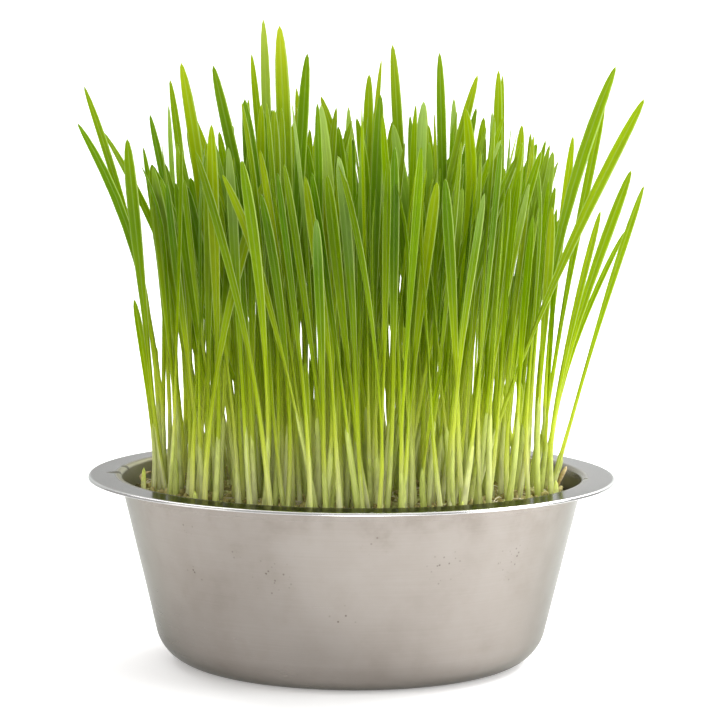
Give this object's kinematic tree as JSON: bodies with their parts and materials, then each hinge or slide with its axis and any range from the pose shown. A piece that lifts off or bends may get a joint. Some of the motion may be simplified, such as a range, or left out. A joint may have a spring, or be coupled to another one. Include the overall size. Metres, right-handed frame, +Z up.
{
  "type": "wheatgrass bowl",
  "caption": "Round stainless steel bowl filled with potting soil, with a dense upright stand of wheatgrass growing in it.",
  "frame": {"origin": "centre of the bowl's flat base, on the surface that it stands on", "axes": "+Z up, +X to the right and -Y towards the viewer as pictured"},
  "size_m": [0.234, 0.22, 0.266],
  "materials": {
    "steel": "satin stainless steel with faint horizontal brushing and water marks",
    "soil": "dark crumbly potting soil, matt",
    "wheatgrass": "fresh green leaf with fine lengthwise veins, pale at the stem"
  },
  "bodies": {
    "root": {"bowl": "steel", "soil": "soil", "grass_centre": "wheatgrass", "grass_middle_1": "wheatgrass", "grass_middle_2": "wheatgrass", "grass_middle_3": "wheatgrass", "grass_middle_4": "wheatgrass", "grass_middle_5": "wheatgrass", "grass_middle_6": "wheatgrass", "grass_outer_1": "wheatgrass", "grass_outer_2": "wheatgrass", "grass_outer_3": "wheatgrass", "grass_outer_4": "wheatgrass", "grass_outer_5": "wheatgrass", "grass_outer_6": "wheatgrass", "grass_outer_7": "wheatgrass", "grass_outer_8": "wheatgrass", "grass_outer_9": "wheatgrass", "grass_outer_10": "wheatgrass", "grass_outer_11": "wheatgrass", "grass_outer_12": "wheatgrass"}
  },
  "joints": []
}
